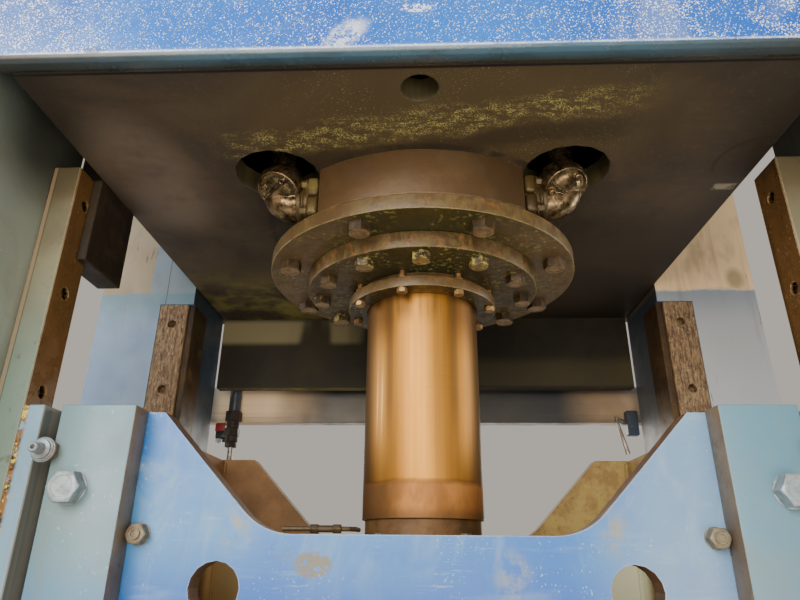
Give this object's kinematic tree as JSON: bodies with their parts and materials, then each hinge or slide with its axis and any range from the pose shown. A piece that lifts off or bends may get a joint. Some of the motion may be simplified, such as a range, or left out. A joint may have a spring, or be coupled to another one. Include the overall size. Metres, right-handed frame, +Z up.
{
  "type": "hydraulic press",
  "caption": "Straight-side hydraulic press: corner posts, crown with a down-acting ram, gibbed slide with a die plate, slotted bolster plate and bed.",
  "frame": {"origin": "on the floor under the ram axis, at the middle of the bed's foot plates", "axes": "+Z up along the ram, +X to the right seen from the front, -Y towards the front"},
  "size_m": [2.02, 1.52, 3.3783],
  "materials": {
    "frame_paint": "glossy sky-blue machine paint, oily and worn",
    "slide_paint": "scuffed sky-blue machine paint",
    "post_paint": "grey-blue machine paint",
    "rail_paint": "pale lavender-grey paint",
    "machined_iron": "ground face with an oil film",
    "way_iron": "brown oil film on a worn bearing face",
    "rusty_iron": "pitted rust",
    "cylinder_iron": "dark oily paint with green and rust speckle",
    "fitting_metal": "dark oily steel",
    "steel": "machined",
    "ram_chrome": "polished ram with an amber oil film",
    "bronze": "turned bronze",
    "seal_rubber": "matte",
    "switch_plastic": "red housing"
  },
  "bodies": {
    "frame": {"bed": "frame_paint", "bolster_plate": "machined_iron", "post_front_left": "post_paint", "post_front_right": "post_paint", "post_rear_left": "post_paint", "post_rear_right": "post_paint", "crown": "frame_paint", "way_front_left": "way_iron", "way_front_right": "way_iron", "way_rear_left": "rusty_iron", "way_rear_right": "rusty_iron", "liner_rear_left": "way_iron", "liner_rear_right": "way_iron", "hanging_plate": "way_iron", "rear_rail": "rail_paint", "gauge_tube": "post_paint", "gauge_clamp": "steel", "limit_switch_left": "switch_plastic", "limit_switch_right": "steel", "trip_rod": "steel", "cylinder_barrel": "cylinder_iron", "cylinder_head": "cylinder_iron", "gland_ring": "cylinder_iron", "wiper_ring": "cylinder_iron", "wiper_seal": "seal_rubber", "rod_bushing": "bronze", "rod_packing": "seal_rubber", "cylinder_cap": "cylinder_iron", "elbow_left": "fitting_metal", "elbow_right": "fitting_metal", "split_flange_left": "fitting_metal", "split_flange_right": "fitting_metal", "pipe_left": "fitting_metal", "pipe_right": "fitting_metal"},
    "slide": {"ram": "ram_chrome", "piston": "steel", "piston_ring_lower": "seal_rubber", "piston_ring_upper": "seal_rubber", "piston_nut": "steel", "ram_clamp_left": "steel", "ram_clamp_right": "steel", "slide_frame": "slide_paint", "ram_seat": "slide_paint", "die_plate": "machined_iron", "gib_pad_left": "slide_paint", "gib_pad_right": "slide_paint", "gib_strip_left": "slide_paint", "gib_strip_right": "slide_paint", "gib_rear_left": "way_iron", "gib_rear_right": "way_iron", "gib_screw_left_upper": "steel", "gib_screw_left_lower": "steel", "gib_screw_right_upper": "steel", "gib_screw_right_lower": "steel", "grease_tube_left": "fitting_metal", "grease_tube_right": "fitting_metal", "grease_fitting": "fitting_metal", "gauge_rod": "steel"}
  },
  "joints": [
    {"name": "slide_stroke", "type": "slide", "parent": "frame", "child": "slide", "axis": [0, 0, 1], "range_m": [-0.24, 0.24]}
  ]
}
